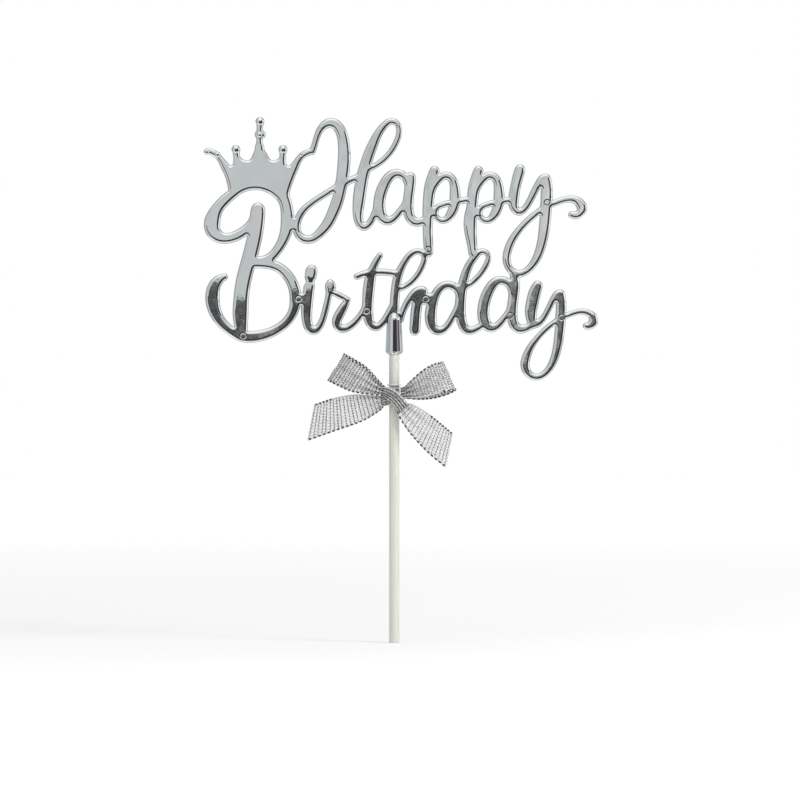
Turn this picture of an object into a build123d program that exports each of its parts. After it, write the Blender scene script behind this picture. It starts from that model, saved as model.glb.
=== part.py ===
from build123d import *
import os

# Cake topper: a moulded greeting in brush script with a crown, a hollow stick in its socket and a ribbon bow.
# Millimetres, +Z up, front towards -Y. The origin is the tip of the stick, and the stick's axis is Z.

# Stick
stick_length = 100.0
stick_diameter = 3.2
stick_bore = 1.8
stick_edge = 0.2

# Socket under the lettering
socket_grip = 11.2
socket_diameter = 5.3
socket_lead = 1.3
socket_fit = 0.05
socket_end_gap = 0.1

# Lettering: em is the size of the script, the measure that every letter share follows
em = 31.0
axis_offset = 60.2
baseline_rise = 8.1
row_pitch_share = 1.10
plate_thickness = 2.4
edge_height = 0.7
edge_width = 0.45
mark_radius = 0.9
mark_depth = 0.15

# Ribbon bow: bow_size is the measure that the bow's shares follow
bow_drop = 12.1
bow_size = 31.0
ribbon_thickness = 0.3
ribbon_gap = 0.12
gather_reach = 3.2
gather_stand_off = 0.35
gather_depth = 3.05
pleat_count = 4
pleat_depth = 0.35
tie_wire = 0.5
tie_clearance = 0.15
tie_slack = 0.1
tie_bend = 0.6
tie_turn = 60

# Heights worked out from the sizes above
socket_mouth = stick_length - socket_grip
baseline = socket_mouth + baseline_rise
bow_height = socket_mouth - bow_drop

os.makedirs("parts", exist_ok=True)

# Letters: each stroke is one or two runs of (across, up, width) shares of em, from the letter's own foot.
# A stroke that crosses itself is written in two runs.
letter_shares = {
    "crown": [
        [[(0.08, 0.69, 0.062), (0.14, 0.67, 0.066), (0.185, 0.635, 0.064), (0.225, 0.575, 0.075),
          (0.275, 0.50, 0.10)]],
        [[(0.368, 0.54, 0.08), (0.365, 0.62, 0.063), (0.362, 0.68, 0.065)]],
        [[(0.598, 0.52, 0.15), (0.597, 0.61, 0.125), (0.596, 0.70, 0.09), (0.595, 0.78, 0.063),
          (0.597, 0.87, 0.058), (0.60, 0.96, 0.065)]],
        [[(0.579, 0.854, 0.074), (0.623, 0.854, 0.074)]],
        [[(0.825, 0.54, 0.08), (0.826, 0.62, 0.063), (0.83, 0.68, 0.065)]],
        [[(1.12, 0.687, 0.065), (1.06, 0.668, 0.065), (1.01, 0.637, 0.068), (0.97, 0.575, 0.075),
          (0.925, 0.495, 0.10)]],
    ],
    "B": [
        [[(0.58, 1.205, 0.15), (0.565, 1.05, 0.155), (0.54, 0.90, 0.155), (0.49, 0.70, 0.155),
          (0.437, 0.50, 0.155), (0.41, 0.30, 0.155), (0.405, 0.12, 0.155), (0.415, -0.03, 0.13)]],
        [[(0.53, 1.09, 0.09), (0.45, 0.995, 0.10), (0.35, 0.935, 0.105), (0.22, 0.917, 0.11),
          (0.137, 0.975, 0.147), (0.12, 1.08, 0.165), (0.163, 1.197, 0.125), (0.245, 1.295, 0.113),
          (0.36, 1.385, 0.10)]],
        [[(0.77, 1.44, 0.10), (0.835, 1.33, 0.12), (0.87, 1.20, 0.13), (0.875, 1.08, 0.135),
          (0.845, 0.93, 0.115), (0.775, 0.80, 0.10), (0.685, 0.71, 0.10), (0.58, 0.68, 0.11),
          (0.49, 0.68, 0.11)]],
        [[(0.50, 0.66, 0.09), (0.64, 0.662, 0.095), (0.77, 0.635, 0.10), (0.87, 0.555, 0.11),
          (0.935, 0.44, 0.115), (0.955, 0.32, 0.12), (0.935, 0.19, 0.105), (0.87, 0.085, 0.10),
          (0.77, 0.005, 0.10), (0.64, -0.05, 0.11), (0.50, -0.07, 0.12), (0.41, -0.06, 0.12)]],
        [[(0.43, -0.07, 0.11), (0.31, -0.01, 0.10), (0.21, 0.08, 0.11), (0.147, 0.19, 0.13),
          (0.123, 0.31, 0.145), (0.135, 0.42, 0.133), (0.18, 0.495, 0.105), (0.245, 0.53, 0.075)]],
        [[(0.885, 1.07, 0.13), (0.94, 1.06, 0.12)]],
        [[(0.96, 0.31, 0.125), (1.065, 0.31, 0.125)]],
    ],
    "H": [
        [[(0.125, 0.68, 0.065), (0.15, 0.765, 0.065), (0.18, 0.865, 0.068), (0.23, 0.94, 0.08),
          (0.305, 0.975, 0.10), (0.38, 0.935, 0.108), (0.425, 0.84, 0.115), (0.442, 0.72, 0.123),
          (0.442, 0.60, 0.13), (0.43, 0.47, 0.128), (0.41, 0.34, 0.123), (0.378, 0.20, 0.125),
          (0.33, 0.07, 0.12), (0.265, -0.055, 0.11), (0.185, -0.145, 0.095), (0.085, -0.20, 0.082)],
         [(-0.005, -0.165, 0.083), (-0.035, -0.08, 0.08), (-0.015, 0.02, 0.078), (0.04, 0.105, 0.073),
          (0.13, 0.18, 0.065), (0.225, 0.242, 0.065), (0.32, 0.30, 0.066), (0.42, 0.355, 0.07),
          (0.50, 0.395, 0.07), (0.62, 0.435, 0.075)]],
        [[(0.66, 0.50, 0.06), (0.76, 0.548, 0.06), (0.855, 0.62, 0.06), (0.93, 0.715, 0.06),
          (0.98, 0.82, 0.06), (0.993, 0.91, 0.06), (0.965, 0.972, 0.063), (0.91, 0.99, 0.07)],
         [(0.85, 0.952, 0.075), (0.795, 0.885, 0.083), (0.745, 0.79, 0.10), (0.698, 0.68, 0.113),
          (0.655, 0.55, 0.118), (0.623, 0.42, 0.126), (0.602, 0.30, 0.13), (0.586, 0.17, 0.123),
          (0.578, 0.06, 0.105), (0.593, -0.025, 0.095), (0.64, -0.07, 0.09), (0.695, -0.035, 0.075),
          (0.735, 0.04, 0.07), (0.77, 0.12, 0.07)]],
    ],
    "a": [
        [[(0.38, 0.37, 0.08), (0.345, 0.435, 0.08), (0.275, 0.47, 0.087), (0.20, 0.44, 0.10),
          (0.148, 0.365, 0.113), (0.11, 0.275, 0.118), (0.092, 0.18, 0.12), (0.095, 0.09, 0.12),
          (0.128, 0.02, 0.11), (0.18, -0.01, 0.098), (0.24, 0.017, 0.08), (0.295, 0.08, 0.072),
          (0.35, 0.15, 0.07), (0.39, 0.21, 0.07)]],
        [[(0.41, 0.43, 0.105), (0.398, 0.32, 0.107), (0.382, 0.20, 0.107), (0.382, 0.09, 0.107),
          (0.405, 0.015, 0.103), (0.46, -0.023, 0.095), (0.525, -0.01, 0.08), (0.58, 0.025, 0.08)]],
    ],
    "p": [
        [[(0.145, 0.495, 0.105), (0.122, 0.42, 0.112), (0.10, 0.33, 0.12), (0.088, 0.23, 0.116),
          (0.08, 0.12, 0.113), (0.077, 0.0, 0.106), (0.077, -0.14, 0.10), (0.083, -0.26, 0.10),
          (0.088, -0.325, 0.095)]],
        [[(0.115, 0.30, 0.08), (0.165, 0.38, 0.08), (0.21, 0.425, 0.08), (0.265, 0.445, 0.085),
          (0.318, 0.415, 0.088), (0.345, 0.34, 0.096), (0.35, 0.25, 0.11), (0.345, 0.16, 0.108),
          (0.32, 0.08, 0.10), (0.28, 0.02, 0.083), (0.23, -0.008, 0.07), (0.175, 0.015, 0.062)],
         [(0.152, 0.07, 0.06), (0.17, 0.125, 0.06), (0.22, 0.15, 0.062), (0.28, 0.165, 0.065),
          (0.34, 0.17, 0.07)]],
        [[(0.35, 0.18, 0.07), (0.42, 0.193, 0.066), (0.50, 0.205, 0.066)]],
    ],
    "y": [
        [[(0.20, 0.505, 0.113), (0.175, 0.42, 0.11), (0.15, 0.31, 0.106), (0.136, 0.20, 0.106),
          (0.145, 0.12, 0.096), (0.19, 0.08, 0.085), (0.25, 0.115, 0.072), (0.295, 0.185, 0.07),
          (0.335, 0.265, 0.075), (0.38, 0.35, 0.08), (0.43, 0.412, 0.10)]],
        [[(0.46, 0.415, 0.105), (0.468, 0.32, 0.12), (0.465, 0.20, 0.12), (0.458, 0.08, 0.116),
          (0.448, -0.04, 0.116), (0.432, -0.16, 0.106), (0.403, -0.29, 0.097), (0.355, -0.405, 0.086),
          (0.285, -0.495, 0.075), (0.19, -0.54, 0.07)],
         [(0.105, -0.50, 0.072), (0.065, -0.41, 0.082), (0.08, -0.295, 0.084), (0.125, -0.19, 0.08),
          (0.19, -0.10, 0.072), (0.28, -0.003, 0.068), (0.38, 0.077, 0.066), (0.46, 0.13, 0.066),
          (0.55, 0.172, 0.066), (0.64, 0.202, 0.066), (0.72, 0.212, 0.07), (0.79, 0.187, 0.08),
          (0.828, 0.13, 0.085), (0.81, 0.07, 0.078), (0.76, 0.045, 0.07), (0.71, 0.05, 0.058)]],
    ],
    "p_back": [
        [[(0.06, 0.10, 0.09), (0.042, -0.02, 0.096), (0.05, -0.14, 0.088), (0.075, -0.26, 0.08)]],
    ],
    "y_end": [
        [[(0.177, 0.444, 0.112), (0.15, 0.386, 0.125), (0.131, 0.31, 0.13), (0.114, 0.23, 0.128),
          (0.108, 0.17, 0.12), (0.118, 0.105, 0.108), (0.16, 0.062, 0.096), (0.22, 0.101, 0.07),
          (0.26, 0.163, 0.063), (0.295, 0.233, 0.067), (0.334, 0.308, 0.072), (0.378, 0.362, 0.088)]],
        [[(0.405, 0.365, 0.093), (0.412, 0.282, 0.106), (0.409, 0.176, 0.106), (0.403, 0.07, 0.103),
          (0.394, -0.035, 0.103), (0.38, -0.141, 0.095), (0.355, -0.255, 0.087), (0.313, -0.356, 0.078),
          (0.251, -0.436, 0.07), (0.167, -0.475, 0.066)],
         [(0.088, -0.443, 0.075), (0.048, -0.361, 0.094), (0.066, -0.26, 0.088), (0.108, -0.167, 0.075),
          (0.167, -0.088, 0.064), (0.246, -0.003, 0.06), (0.334, 0.068, 0.059), (0.405, 0.114, 0.059),
          (0.484, 0.151, 0.059), (0.563, 0.178, 0.059), (0.634, 0.187, 0.062), (0.695, 0.165, 0.07),
          (0.729, 0.114, 0.075), (0.713, 0.062, 0.069), (0.685, 0.042, 0.062), (0.655, 0.04, 0.055)]],
    ],
    "i": [
        [[(0.11, 0.59, 0.12), (0.103, 0.51, 0.116), (0.09, 0.42, 0.113), (0.075, 0.31, 0.118),
          (0.066, 0.20, 0.115), (0.068, 0.10, 0.106), (0.09, 0.025, 0.102), (0.14, -0.007, 0.096),
          (0.195, 0.035, 0.078), (0.228, 0.105, 0.07), (0.255, 0.20, 0.07), (0.278, 0.30, 0.066),
          (0.295, 0.41, 0.066)]],
    ],
    "r": [
        [[(0.09, 0.39, 0.06), (0.16, 0.362, 0.065), (0.23, 0.327, 0.065), (0.28, 0.302, 0.058)]],
        [[(0.275, 0.295, 0.06), (0.25, 0.25, 0.085), (0.213, 0.19, 0.097), (0.178, 0.125, 0.104),
          (0.166, 0.065, 0.10), (0.195, 0.02, 0.092), (0.25, 0.012, 0.082), (0.31, 0.042, 0.075),
          (0.37, 0.10, 0.07), (0.42, 0.17, 0.066), (0.47, 0.245, 0.066)]],
    ],
    "t": [
        [[(0.30, 0.745, 0.065), (0.265, 0.69, 0.076), (0.233, 0.62, 0.086), (0.208, 0.54, 0.108),
          (0.19, 0.44, 0.12), (0.18, 0.33, 0.118), (0.176, 0.22, 0.112), (0.184, 0.12, 0.105),
          (0.21, 0.055, 0.096), (0.26, 0.028, 0.088), (0.315, 0.062, 0.074), (0.36, 0.125, 0.07),
          (0.405, 0.205, 0.07), (0.45, 0.29, 0.07)]],
        [[(0.07, 0.535, 0.068), (0.14, 0.56, 0.07), (0.22, 0.575, 0.07), (0.32, 0.58, 0.07),
          (0.41, 0.572, 0.07), (0.48, 0.56, 0.07)]],
    ],
    "h": [
        [[(0.08, 0.415, 0.06), (0.16, 0.44, 0.06), (0.23, 0.495, 0.06), (0.288, 0.57, 0.06),
          (0.328, 0.65, 0.06), (0.345, 0.72, 0.06), (0.325, 0.77, 0.062), (0.275, 0.787, 0.065)],
         [(0.21, 0.762, 0.068), (0.16, 0.705, 0.07), (0.115, 0.625, 0.078), (0.08, 0.54, 0.09),
          (0.06, 0.44, 0.098), (0.048, 0.33, 0.096), (0.043, 0.22, 0.098), (0.042, 0.14, 0.10)]],
        [[(0.105, 0.10, 0.07), (0.125, 0.175, 0.07), (0.16, 0.255, 0.073), (0.21, 0.332, 0.08),
          (0.27, 0.387, 0.09), (0.33, 0.395, 0.095)]],
        [[(0.30, 0.37, 0.09), (0.28, 0.30, 0.105), (0.263, 0.21, 0.11), (0.253, 0.10, 0.11),
          (0.248, -0.005, 0.113)]],
        [[(0.28, 0.32, 0.125), (0.36, 0.315, 0.13), (0.405, 0.30, 0.12)]],
    ],
    "d": [
        [[(0.40, 0.35, 0.08), (0.355, 0.425, 0.08), (0.28, 0.455, 0.082), (0.205, 0.425, 0.087),
          (0.155, 0.355, 0.095), (0.122, 0.26, 0.11), (0.106, 0.16, 0.12), (0.112, 0.07, 0.115),
          (0.148, 0.005, 0.10), (0.20, -0.01, 0.09), (0.26, 0.025, 0.076), (0.31, 0.10, 0.07),
          (0.355, 0.185, 0.07), (0.40, 0.26, 0.07)]],
        [[(0.43, 0.425, 0.06), (0.51, 0.467, 0.06), (0.58, 0.53, 0.06), (0.64, 0.61, 0.06),
          (0.68, 0.695, 0.06), (0.678, 0.76, 0.06), (0.63, 0.787, 0.065)],
         [(0.57, 0.755, 0.07), (0.518, 0.695, 0.078), (0.475, 0.615, 0.088), (0.443, 0.52, 0.096),
          (0.42, 0.41, 0.102), (0.406, 0.30, 0.11), (0.402, 0.20, 0.11), (0.412, 0.10, 0.103),
          (0.44, 0.025, 0.098), (0.49, -0.01, 0.09), (0.555, 0.007, 0.076), (0.61, 0.04, 0.07),
          (0.66, 0.085, 0.07)]],
        [[(0.95, 0.43, 0.105), (0.943, 0.54, 0.09)]],
    ],
}

# Dots: round beads of (across, up, radius) shares of em
dot_shares = {
    "crown": [(0.36, 0.705, 0.045), (0.60, 0.985, 0.045), (0.83, 0.705, 0.045)],
    "r": [(0.103, 0.44, 0.06)],
}

# Crown body: corners and the points that its curved sides pass through
crown_side_shares = [(0.225, 0.50), (0.257, 0.41), (0.285, 0.285)]
crown_foot_shares = [(0.375, 0.24), (0.58, 0.30), (0.80, 0.155)]
crown_flare_shares = [(0.885, 0.24), (0.932, 0.38), (0.975, 0.49)]
crown_scallop_shares = [
    [(0.935, 0.565), (0.895, 0.543), (0.85, 0.60)],
    [(0.80, 0.63), (0.72, 0.592), (0.64, 0.68)],
    [(0.553, 0.68), (0.465, 0.592), (0.395, 0.64)],
    [(0.34, 0.575), (0.305, 0.544), (0.255, 0.56)],
]

# Rows: letter, distance along the row and height above the lower baseline in shares of em, and its size
row_places_share = [
    ("crown", 0.0, row_pitch_share, 1.0),
    ("H", 1.0, row_pitch_share, 1.0),
    ("a", 1.7, row_pitch_share, 1.0),
    ("p", 2.2, row_pitch_share, 1.0),
    ("p", 2.64, row_pitch_share, 1.0),
    ("p_back", 2.64, row_pitch_share, 1.0),
    ("y", 3.0, row_pitch_share, 1.0),
    ("B", 0.0, 0.0, 1.0),
    ("i", 1.0, 0.0, 1.0),
    ("r", 1.2, 0.0, 1.0),
    ("t", 1.5, 0.0, 1.0),
    ("h", 1.9, 0.0, 1.0),
    ("d", 2.2, 0.0, 1.0),
    ("a", 2.74, 0.03, 1.0),
    ("y_end", 3.2, 0.0, 1.0),
]

# Ejector marks on the front, in shares of em along the row and above the lower baseline
mark_shares = [
    (0.985, 0.31), (2.255, 0.31), (1.665, 0.19), (3.10, 0.14),
    (3.615, 0.125), (2.285, 0.80), (0.43, -0.06), (3.47, 1.27),
]


def letter_point(across, up, place):
    """Point of the sign's face for a letter's shares."""
    _, along, rise, size = place
    return Vector((along + across * size) * em - axis_offset, baseline + (rise + up * size) * em)


def headings(spine):
    """Unit directions along a line of points, as on the circles through each three of them."""
    steps = [after - before for before, after in zip(spine, spine[1:])]
    inner = [
        (ahead.normalized() * back.length + back.normalized() * ahead.length).normalized()
        for back, ahead in zip(steps, steps[1:])
    ]
    if not inner:
        return [steps[0].normalized()] * 2
    first = steps[0].normalized()
    last = steps[-1].normalized()
    start = first * (2 * first.dot(inner[0])) - inner[0]
    end = last * (2 * last.dot(inner[-1])) - inner[-1]
    return [start, *inner, end]


def stroke_faces(runs, place, inset):
    """Faces of one pen stroke, a face for each run, narrowed all round by the inset."""
    stations = [station for run in runs for station in run]
    spine = [letter_point(across, up, place) for across, up, _ in stations]
    heading = headings(spine)
    reach = [width * em / 2 - inset for _, _, width in stations]
    side = [Vector(-way.Y, way.X) * half for way, half in zip(heading, reach)]
    cuts = [0, len(stations) - 1] if len(runs) == 1 else [0, len(runs[0]) - 1, len(stations) - 1]
    faces = []
    for begin, finish in zip(cuts, cuts[1:]):
        span = range(begin, finish + 1)
        left = [spine[k] + side[k] for k in span]
        right = [spine[k] - side[k] for k in reversed(span)]
        with BuildSketch(mode=Mode.PRIVATE) as blot:
            with BuildLine():
                Spline(*left, tangents=(heading[begin], heading[finish]), tangent_scalars=(1, 1))
                if finish == cuts[-1]:
                    ThreePointArc(left[-1], spine[finish] + heading[finish] * reach[finish], right[0])
                else:
                    Line(left[-1], right[0])
                Spline(*right, tangents=(-heading[finish], -heading[begin]), tangent_scalars=(1, 1))
                if begin == 0:
                    ThreePointArc(right[-1], spine[begin] - heading[begin] * reach[begin], left[0])
                else:
                    Line(right[-1], left[0])
            make_face()
        faces.append(blot.sketch.face())
    return faces


def crown_face(place, inset):
    """Body of the crown: two flared sides, a hollow foot and four scallops."""
    side = [letter_point(*share, place) + Vector(inset, 0) for share in crown_side_shares]
    foot = [letter_point(*share, place) + Vector(0, inset) for share in crown_foot_shares]
    flare = [letter_point(*share, place) - Vector(inset, 0) for share in crown_flare_shares]
    scallops = [
        [letter_point(*share, place) - Vector(0, inset) for share in scallop]
        for scallop in crown_scallop_shares
    ]
    arcs = [side, foot, flare, *scallops]
    with BuildSketch(mode=Mode.PRIVATE) as body:
        with BuildLine():
            for arc, following in zip(arcs, arcs[1:] + arcs[:1]):
                ThreePointArc(*arc)
                Line(arc[-1], following[0])
        make_face()
    return body.sketch.face()


def dot_face(across, up, radius_share, place, inset):
    """Round bead of a letter."""
    with BuildSketch(mode=Mode.PRIVATE) as bead:
        with Locations(letter_point(across, up, place)):
            Circle(radius_share * em - inset)
    return bead.sketch.face()


def sign_faces(inset):
    """All faces of the lettering, narrowed by the inset."""
    faces = []
    for place in row_places_share:
        letter = place[0]
        for runs in letter_shares[letter]:
            faces += stroke_faces(runs, place, inset)
        for dot in dot_shares.get(letter, []):
            faces.append(dot_face(*dot, place, inset))
        if letter == "crown":
            faces.append(crown_face(place, inset))
    return faces


# Lettering: the plate with its drawn-in front edge, the domed socket below it and the ejector marks
plate_back = Plane.XZ.offset(-plate_thickness / 2)
plate_step = plate_back.offset(plate_thickness - edge_height)
plate_front = Plane.XZ.offset(plate_thickness / 2)
socket_radius = socket_diameter / 2
mark_points = [
    (along * em - axis_offset, baseline + rise * em) for along, rise in mark_shares
]
with BuildPart() as lettering:
    with BuildSketch(plate_back):
        add(sign_faces(inset=0))
    extrude(amount=plate_thickness - edge_height)
    with BuildSketch(plate_step):
        add(sign_faces(inset=edge_width))
    extrude(amount=edge_height)
    with BuildSketch(plate_front):
        with Locations(*mark_points):
            Circle(mark_radius)
    extrude(amount=-mark_depth, mode=Mode.SUBTRACT)
    with BuildSketch(Plane.XZ):
        with BuildLine():
            Polyline(
                (0, stick_length + socket_radius),
                (0, socket_mouth),
                (socket_radius - socket_lead / 2, socket_mouth),
                (socket_radius, socket_mouth + socket_lead),
                (socket_radius, stick_length),
            )
            RadiusArc((socket_radius, stick_length), (0, stick_length + socket_radius), -socket_radius)
        make_face()
    revolve(axis=Axis.Z)
    with BuildSketch(Plane.XY.offset(socket_mouth)):
        Circle(stick_diameter / 2 + socket_fit)
    extrude(amount=socket_grip + socket_end_gap, mode=Mode.SUBTRACT)
lettering.part.label = "lettering"
export_step(lettering.part, "parts/lettering.step")

# Stick: a straight tube with its outer ends eased
with BuildPart() as stick:
    with BuildSketch():
        Circle(stick_diameter / 2)
        Circle(stick_bore / 2, mode=Mode.SUBTRACT)
    extrude(amount=stick_length)
    outer_rims = stick.edges().filter_by(GeomType.CIRCLE).sort_by(SortBy.RADIUS)[-2:]
    chamfer(outer_rims, stick_edge)
stick.part.label = "stick"
export_step(stick.part, "parts/stick.step")

# Ribbon bow: each ribbon is a row of stations, its upper edge (out, up), its lower edge (out, up) and its depth
# in front of the gather's middle, in shares of bow_size. Out is counted from the end of the gather.
left_loop_shares = [
    ((0.0, 0.085), (0.0, -0.002), 0.014),
    ((0.063, 0.165), (0.133, 0.01), 0.05),
    ((0.173, 0.28), (0.313, 0.04), 0.072),
    ((0.283, 0.35), (0.433, 0.09), 0.062),
    ((0.358, 0.393), (0.518, 0.133), 0.028),
    ((0.393, 0.41), (0.553, 0.15), -0.028),
    ((0.368, 0.397), (0.528, 0.137), -0.082),
    ((0.293, 0.355), (0.443, 0.095), -0.112),
    ((0.183, 0.285), (0.313, 0.045), -0.112),
    ((0.073, 0.17), (0.143, 0.015), -0.077),
    ((0.0, 0.08), (0.0, 0.0), -0.031),
]
right_loop_shares = [
    ((0.0, 0.085), (0.0, -0.022), 0.014),
    ((0.063, 0.145), (0.133, -0.022), 0.05),
    ((0.173, 0.24), (0.253, 0.0), 0.072),
    ((0.273, 0.30), (0.363, 0.033), 0.062),
    ((0.348, 0.322), (0.468, 0.05), 0.028),
    ((0.383, 0.33), (0.508, 0.06), -0.028),
    ((0.358, 0.324), (0.478, 0.035), -0.082),
    ((0.283, 0.30), (0.393, 0.0), -0.112),
    ((0.183, 0.245), (0.273, -0.03), -0.112),
    ((0.073, 0.15), (0.143, -0.04), -0.077),
    ((0.0, 0.08), (0.0, -0.03), -0.031),
]
left_tail_shares = [
    ((0.0, -0.015), (0.0, -0.11), -0.022),
    ((0.093, -0.012), (0.043, -0.155), -0.02),
    ((0.273, 0.0), (0.213, -0.255), -0.012),
    ((0.473, -0.03), (0.453, -0.34), 0.0),
    ((0.693, -0.10), (0.763, -0.45), -0.015),
]
right_tail_shares = [
    ((0.028, -0.09), (-0.077, -0.155), 0.0),
    ((0.093, -0.105), (-0.037, -0.245), -0.01),
    ((0.213, -0.175), (0.073, -0.40), -0.005),
    ((0.353, -0.285), (0.233, -0.57), 0.0),
    ((0.478, -0.39), (0.413, -0.72), -0.015),
]

# Gather: at its left end, middle and right end, its top and bottom in shares of bow_size and its depth share
gather_shares = [(-1, 0.09, -0.11, 0.87), (0, 0.07, -0.105, 1.0), (1, 0.09, -0.075, 0.87)]
gather_back = stick_diameter / 2 + gather_stand_off
gather_front = gather_back + gather_depth
gather_middle = (gather_back + gather_front) / 2


def bow_point(side, out, up, depth):
    """Point of the bow for a ribbon's shares, on the left for side -1 and on the right for side 1."""
    return Vector(
        side * (gather_reach + ribbon_gap + out * bow_size),
        -gather_middle - depth * bow_size,
        bow_height + up * bow_size,
    )


def ribbon_sections(side, shares):
    """Thin cross sections of a ribbon, one at each station."""
    uppers = [bow_point(side, *upper, depth) for upper, _, depth in shares]
    lowers = [bow_point(side, *lower, depth) for _, lower, depth in shares]
    middles = [(upper + lower) / 2 for upper, lower in zip(uppers, lowers)]
    sections = []
    for upper, lower, middle, way in zip(uppers, lowers, middles, headings(middles)):
        across = (upper - lower).normalized()
        square_way = way - across * way.dot(across)
        with BuildSketch(Plane(middle, x_dir=across, z_dir=square_way), mode=Mode.PRIVATE) as section:
            Rectangle((upper - lower).length, ribbon_thickness)
        sections.append(section.sketch.face())
    return sections


# Loops and tails: four stretches of the ribbon, which meet at the gather
with BuildPart() as bow_left_loop:
    loft(ribbon_sections(-1, left_loop_shares))
bow_left_loop.part.label = "bow_left_loop"
export_step(bow_left_loop.part, "parts/bow_left_loop.step")

with BuildPart() as bow_right_loop:
    loft(ribbon_sections(1, right_loop_shares))
bow_right_loop.part.label = "bow_right_loop"
export_step(bow_right_loop.part, "parts/bow_right_loop.step")

with BuildPart() as bow_left_tail:
    loft(ribbon_sections(-1, left_tail_shares))
bow_left_tail.part.label = "bow_left_tail"
export_step(bow_left_tail.part, "parts/bow_left_tail.step")

with BuildPart() as bow_right_tail:
    loft(ribbon_sections(1, right_tail_shares))
bow_right_tail.part.label = "bow_right_tail"
export_step(bow_right_tail.part, "parts/bow_right_tail.step")

# Gather: the pinched middle of the ribbon, flat against the stick behind and pleated in front
with BuildPart() as bow_gather:
    for end, top_share, bottom_share, depth_share in gather_shares:
        top = bow_height + top_share * bow_size
        pleat_height = (top_share - bottom_share) * bow_size / pleat_count
        valley = -gather_back - gather_depth * depth_share + pleat_depth
        with BuildSketch(Plane.YZ.offset(end * gather_reach)):
            with BuildLine():
                ridges = [(valley, top - k * pleat_height) for k in range(pleat_count + 1)]
                for (_, upper), (_, lower) in zip(ridges, ridges[1:]):
                    ThreePointArc((valley, upper), (valley - pleat_depth, (upper + lower) / 2), (valley, lower))
                Polyline(ridges[-1], (-gather_back, ridges[-1][1]), (-gather_back, top), ridges[0])
            make_face()
    loft()
bow_gather.part.label = "bow_gather"
export_step(bow_gather.part, "parts/bow_gather.step")

# Tie: one wire, a ring round the stick just above the gather and a loop round the gather itself
tie_radius = stick_diameter / 2 + tie_clearance + tie_wire / 2
tie_foot = Vector(0, -tie_radius).rotate(Axis.Z, tie_turn)
tie_reach = tie_slack + tie_wire / 2
tie_top = bow_height + max(top for _, top, _, _ in gather_shares) * bow_size + tie_reach
tie_bottom = bow_height + gather_shares[1][2] * bow_size - tie_reach
tie_front = -gather_front - tie_reach
with BuildPart() as bow_tie:
    with BuildLine(Plane.YZ.offset(tie_foot.X)) as tie_route:
        FilletPolyline(
            (tie_foot.Y, tie_top),
            (tie_front, tie_top),
            (tie_front, tie_bottom),
            (tie_foot.Y, tie_bottom),
            radius=tie_bend,
            close=True,
        )
    with BuildSketch(Plane(tie_route.line @ 0, z_dir=tie_route.line % 0)):
        Circle(tie_wire / 2)
    sweep()
    with BuildSketch(Plane.XZ):
        with Locations((tie_radius, tie_top)):
            Circle(tie_wire / 2)
    revolve(axis=Axis.Z)
bow_tie.part.label = "bow_tie"
export_step(bow_tie.part, "parts/bow_tie.step")
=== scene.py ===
from math import acos, asin, atan2, ceil, cos, pi, radians, sin, sqrt, tan, tau

import bpy
import numpy as np
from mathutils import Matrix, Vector, geometry, kdtree


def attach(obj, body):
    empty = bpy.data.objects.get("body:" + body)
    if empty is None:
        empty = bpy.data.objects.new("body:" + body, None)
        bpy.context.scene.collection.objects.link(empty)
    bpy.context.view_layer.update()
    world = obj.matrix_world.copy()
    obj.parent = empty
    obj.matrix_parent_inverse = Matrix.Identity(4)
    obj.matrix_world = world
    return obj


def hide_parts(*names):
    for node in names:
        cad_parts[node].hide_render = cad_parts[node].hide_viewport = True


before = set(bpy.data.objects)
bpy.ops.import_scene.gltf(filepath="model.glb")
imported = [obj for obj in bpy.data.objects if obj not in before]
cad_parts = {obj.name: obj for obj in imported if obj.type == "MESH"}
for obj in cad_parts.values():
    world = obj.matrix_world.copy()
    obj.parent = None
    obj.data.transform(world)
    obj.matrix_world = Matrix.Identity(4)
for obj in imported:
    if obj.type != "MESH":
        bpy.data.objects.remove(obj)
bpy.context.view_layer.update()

MM = 0.001
least_length = 1e-9

# Sizes and places of the part are in millimetres, those of the studio in metres and degrees.

# The lettering's plate, as thick as the part's, how far its front's edge is rounded in and down,
# its back's radius, and the angles, in degrees, of the rings of points that round them.
plate_half = 1.2
edge_reach = 1.08
edge_drop = 0.74
back_round = 0.2
front_turns = (76.0, 62.0, 48.0, 36.0, 25.0, 15.0, 7.0, 0.0, 0.0)
back_turns = (45.0, 0.0)
flat_margin = 0.07

# The socket. The first radius and the bore are the part's. The wall tapers as a moulded wall
# does, and the mouth lies a little higher than the part's, with a shorter lead.
socket_radius = 2.65
socket_foot_radius = 2.72
socket_top_radius = 2.30
socket_mouth_radius = 2.0
socket_mouth = 89.4
socket_lead = 0.7
socket_shoulder = 100.0
bore_radius = 1.65
bore_top = 100.1
mouth_ease = 0.12
foot_ease = 0.35
dome_steps = 24
axis_gap = 0.004
# The plate's points on the socket are drawn into it, to this share of their way from its axis.
seat_share = 0.80
line_slack = 0.08
mouth_slack = 0.5

# How the outline is sampled, and over what lengths it is smoothed. A kink that moves less than
# the limit is smoothed away; the lines about the socket stay.
flat_slack = 0.001
key_digits = 3
fewest_points = 16
outline_step = 0.22
fine_step = 0.05
facet_ease = 0.16
kink_ease = 0.9
kink_limit = 0.30
kink_fade = 0.12
corner_guard = 1.0
blend_ease = 0.5
kept_half = 4.5
kept_top = 106.0

# The search for half the stroke's width, the share of it that a rounded edge may take, and the
# turn of the outline, in degrees, that calls for one more point.
least_half = 0.4
most_half = 2.3
half_step = 0.1
half_slack = 0.04
half_ease = 0.6
round_share = 0.92
corner_turn = 9.0
ring_slack = 0.03
weld = 1e-5

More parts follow.
